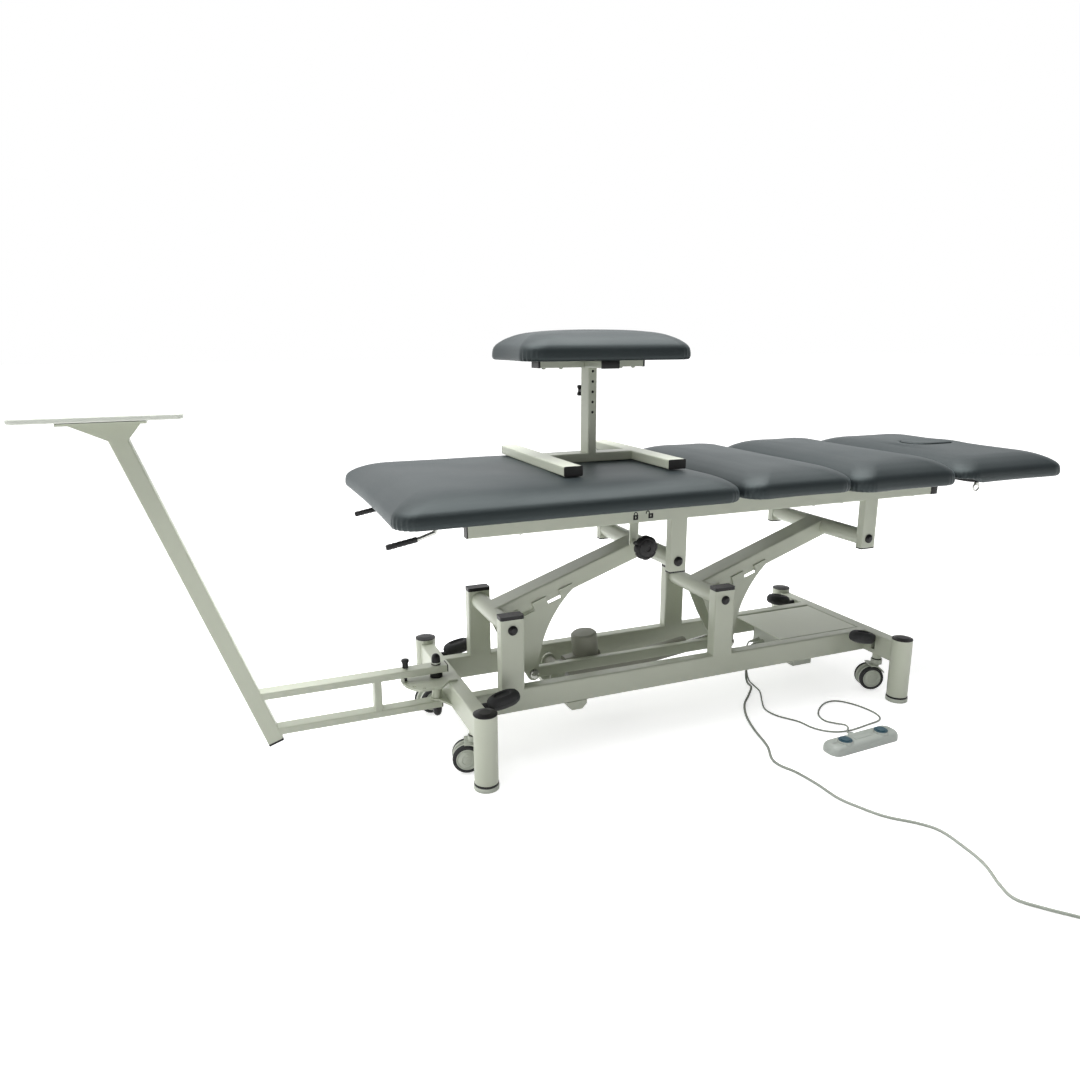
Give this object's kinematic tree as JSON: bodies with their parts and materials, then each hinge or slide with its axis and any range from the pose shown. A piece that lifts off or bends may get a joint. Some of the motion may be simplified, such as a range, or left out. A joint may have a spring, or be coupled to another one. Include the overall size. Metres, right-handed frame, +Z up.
{
  "type": "traction table",
  "caption": "Electric physiotherapy traction table with castored lift base, sliding leg section, tilting head section, swivel post with unit board, and a loose leg stool.",
  "frame": {"origin": "middle of the object's box in plan, at floor level", "axes": "+X towards the head end, +Y away from the controls' side, +Z up"},
  "size_m": [2.7954, 1.6561, 1.1033],
  "materials": {
    "powder_coat": "satin sage-grey powder coat",
    "black_plastic": "moulded black plastic",
    "black_rubber": "black rubber",
    "vinyl": "dark slate-grey upholstery vinyl",
    "plywood": "plywood board wrapped in dark vinyl",
    "motor_plastic": "warm grey moulded housing",
    "steel": "zinc-plated and bright steel",
    "white_laminate": "white laminated board",
    "grey_plastic": "light grey moulded plastic",
    "blue_plastic": "blue moulded plastic",
    "cord_pvc": "grey PVC cord sheath"
  },
  "bodies": {
    "base": {"base_frame": "powder_coat", "swivel_bracket": "powder_coat", "base_caps": "black_plastic", "levelling_feet": "motor_plastic", "control_box": "grey_plastic", "cover_plate": "powder_coat", "swivel_bolt": "black_plastic", "foot_switch": "grey_plastic", "mains_lead": "cord_pvc", "mains_coil": "cord_pvc", "mains_plug": "grey_plastic", "foot_cable": "cord_pvc"},
    "arm_left": {"arm_left": "powder_coat"},
    "arm_right": {"arm_right": "powder_coat"},
    "tie_bar": {"tie_bar": "powder_coat", "fin_bolts": "steel"},
    "actuator_body": {"actuator_body": "motor_plastic"},
    "actuator_rod": {"actuator_rod": "steel"},
    "top": {"top_frame": "powder_coat", "top_caps": "black_plastic", "centre_boards": "plywood", "seat_cushion": "vinyl", "back_cushion": "vinyl"},
    "leg_section": {"slide_carriage": "powder_coat", "leg_board": "plywood", "leg_cushion": "vinyl", "pull_handles": "steel", "handle_grips": "black_rubber"},
    "lock_lever": {"lock_lever": "powder_coat"},
    "lock_knob": {"lock_knob": "black_plastic"},
    "head_section": {"head_board": "plywood", "head_hinges": "steel", "head_cushion": "vinyl"},
    "face_plug": {"face_plug": "vinyl"},
    "d_ring_front": {"d_ring_front": "steel"},
    "d_ring_back": {"d_ring_back": "steel"},
    "traction": {"traction_frame": "powder_coat", "traction_caps": "black_plastic", "platform_board": "white_laminate", "platform_gasket": "black_rubber"},
    "index_plunger": {"index_plunger": "black_plastic"},
    "stool": {"stool_base": "powder_coat", "stool_caps": "black_plastic"},
    "stool_mast": {"stool_mast": "powder_coat", "stool_pad": "vinyl"},
    "stool_plunger": {"stool_plunger": "black_plastic"},
    "foot_button_up": {"foot_button_up": "blue_plastic"},
    "foot_button_down": {"foot_button_down": "blue_plastic"},
    "castor_plunger_fl": {"castor_plunger_fl": "black_rubber"},
    "castor_fork_fl": {"castor_fork_fl": "motor_plastic"},
    "castor_wheels_fl": {"castor_wheels_fl": "grey_plastic"},
    "castor_plunger_fr": {"castor_plunger_fr": "black_rubber"},
    "castor_fork_fr": {"castor_fork_fr": "motor_plastic"},
    "castor_wheels_fr": {"castor_wheels_fr": "grey_plastic"},
    "castor_plunger_bl": {"castor_plunger_bl": "black_rubber"},
    "castor_fork_bl": {"castor_fork_bl": "motor_plastic"},
    "castor_wheels_bl": {"castor_wheels_bl": "grey_plastic"},
    "castor_plunger_br": {"castor_plunger_br": "black_rubber"},
    "castor_fork_br": {"castor_fork_br": "motor_plastic"},
    "castor_wheels_br": {"castor_wheels_br": "grey_plastic"}
  },
  "joints": [
    {"name": "lift", "type": "hinge", "parent": "base", "child": "arm_left", "pos_m": [-0.33729, 0.07845, 0.35], "axis": [0, -1, 0], "range_deg": [-24, 30]},
    {"name": "right_arm_lift", "type": "hinge", "parent": "base", "child": "arm_right", "pos_m": [0.31271, 0.07845, 0.35], "axis": [0, -1, 0], "range_deg": [-24, 30]},
    {"name": "top_level", "type": "hinge", "parent": "arm_left", "child": "top", "pos_m": [0.109, 0.07845, 0.50367], "axis": [0, -1, 0], "range_deg": [-30, 24]},
    {"name": "tie_bar_pivot", "type": "hinge", "parent": "arm_left", "child": "tie_bar", "pos_m": [-0.23352, 0.07845, 0.16997], "axis": [0, -1, 0], "range_deg": [-30, 24]},
    {"name": "actuator_tilt", "type": "hinge", "parent": "base", "child": "actuator_body", "pos_m": [-0.14829, 0.10344, 0.16], "axis": [0, -1, 0], "range_deg": [-3.7, 4.6]},
    {"name": "actuator_stroke", "type": "slide", "parent": "actuator_body", "child": "actuator_rod", "axis": [0.9936, 0, 0.1132], "range_m": [-0.0745, 0.093]},
    {"name": "leg_section_slide", "type": "slide", "parent": "top", "child": "leg_section", "axis": [-1, 0, 0], "range_m": [0, 0.15]},
    {"name": "lock_lever_turn", "type": "hinge", "parent": "top", "child": "lock_lever", "pos_m": [-0.01129, -0.12155, 0.62967], "axis": [0, -1, 0], "range_deg": [0, 25]},
    {"name": "lock_knob_turn", "type": "hinge", "parent": "lock_lever", "child": "lock_knob", "pos_m": [-0.01129, -0.17655, 0.56167], "axis": [0, -1, 0], "range_deg": [-180, 180]},
    {"name": "head_tilt", "type": "hinge", "parent": "top", "child": "head_section", "pos_m": [1.01471, 0.07845, 0.65767], "axis": [0, -1, 0], "range_deg": [-70, 10]},
    {"name": "face_plug_lift", "type": "slide", "parent": "head_section", "child": "face_plug", "axis": [0, 0, 1], "range_m": [0, 0.12]},
    {"name": "d_ring_front_swing", "type": "hinge", "parent": "head_section", "child": "d_ring_front", "pos_m": [1.03771, -0.25155, 0.66567], "axis": [1, 0, 0], "range_deg": [-70, 70]},
    {"name": "d_ring_back_swing", "type": "hinge", "parent": "head_section", "child": "d_ring_back", "pos_m": [1.03771, 0.40845, 0.66567], "axis": [1, 0, 0], "range_deg": [-70, 70]},
    {"name": "traction_swivel", "type": "hinge", "parent": "base", "child": "traction", "pos_m": [-0.50329, 0.07845, 0.16], "axis": [0, 0, 1], "range_deg": [-54, 54]},
    {"name": "index_plunger_pull", "type": "slide", "parent": "traction", "child": "index_plunger", "axis": [0, 0, 1], "range_m": [0, 0.01], "stiffness_N_per_m": 800, "springref_m": -0.006},
    {"name": "stool_lift_off", "type": "slide", "parent": "leg_section", "child": "stool", "axis": [0, 0, 1], "range_m": [0, 0.3]},
    {"name": "stool_height", "type": "slide", "parent": "stool", "child": "stool_mast", "axis": [0, 0, 1], "range_m": [0, 0.109]},
    {"name": "stool_plunger_pull", "type": "slide", "parent": "stool", "child": "stool_plunger", "axis": [0, 1, 0], "range_m": [0, 0.008], "stiffness_N_per_m": 800, "springref_m": -0.006},
    {"name": "up_button_press", "type": "slide", "parent": "base", "child": "foot_button_up", "axis": [0, 0, -1], "range_m": [0, 0.003], "stiffness_N_per_m": 1500, "springref_m": -0.001},
    {"name": "down_button_press", "type": "slide", "parent": "base", "child": "foot_button_down", "axis": [0, 0, -1], "range_m": [0, 0.003], "stiffness_N_per_m": 1500, "springref_m": -0.001},
    {"name": "pedal_press_fl", "type": "slide", "parent": "base", "child": "castor_plunger_fl", "axis": [0, 0, -1], "range_m": [0, 0.012]},
    {"name": "castor_swivel_fl", "type": "hinge", "parent": "castor_plunger_fl", "child": "castor_fork_fl", "pos_m": [-0.45929, -0.11356, 0.09], "axis": [0, 0, 1], "continuous": true},
    {"name": "wheel_roll_fl", "type": "hinge", "parent": "castor_fork_fl", "child": "castor_wheels_fl", "pos_m": [-0.47861, -0.10838, 0.0425], "axis": [-0.2588, -0.9659, 0], "continuous": true},
    {"name": "pedal_press_fr", "type": "slide", "parent": "base", "child": "castor_plunger_fr", "axis": [0, 0, -1], "range_m": [0, 0.012]},
    {"name": "castor_swivel_fr", "type": "hinge", "parent": "castor_plunger_fr", "child": "castor_fork_fr", "pos_m": [0.86471, -0.11356, 0.09], "axis": [0, 0, 1], "continuous": true},
    {"name": "wheel_roll_fr", "type": "hinge", "parent": "castor_fork_fr", "child": "castor_wheels_fr", "pos_m": [0.84592, -0.10671, 0.0425], "axis": [-0.342, -0.9397, 0], "continuous": true},
    {"name": "pedal_press_bl", "type": "slide", "parent": "base", "child": "castor_plunger_bl", "axis": [0, 0, -1], "range_m": [0, 0.012]},
    {"name": "castor_swivel_bl", "type": "hinge", "parent": "castor_plunger_bl", "child": "castor_fork_bl", "pos_m": [-0.45929, 0.27044, 0.09], "axis": [0, 0, 1], "continuous": true},
    {"name": "wheel_roll_bl", "type": "hinge", "parent": "castor_fork_bl", "child": "castor_wheels_bl", "pos_m": [-0.47861, 0.26527, 0.0425], "axis": [0.2588, -0.9659, 0], "continuous": true},
    {"name": "pedal_press_br", "type": "slide", "parent": "base", "child": "castor_plunger_br", "axis": [0, 0, -1], "range_m": [0, 0.012]},
    {"name": "castor_swivel_br", "type": "hinge", "parent": "castor_plunger_br", "child": "castor_fork_br", "pos_m": [0.86471, 0.27044, 0.09], "axis": [0, 0, 1], "continuous": true},
    {"name": "wheel_roll_br", "type": "hinge", "parent": "castor_fork_br", "child": "castor_wheels_br", "pos_m": [0.84502, 0.26697, 0.0425], "axis": [0.1736, -0.9848, 0], "continuous": true}
  ],
  "couplings": [
    {"joint": "right_arm_lift", "follows": "lift", "ratio": 1},
    {"joint": "top_level", "follows": "lift", "ratio": -1},
    {"joint": "tie_bar_pivot", "follows": "lift", "ratio": -1},
    {"joint": "actuator_tilt", "follows": "lift", "ratio": 0.15},
    {"joint": "actuator_stroke", "follows": "lift", "m_per_rad": 0.1748}
  ]
}
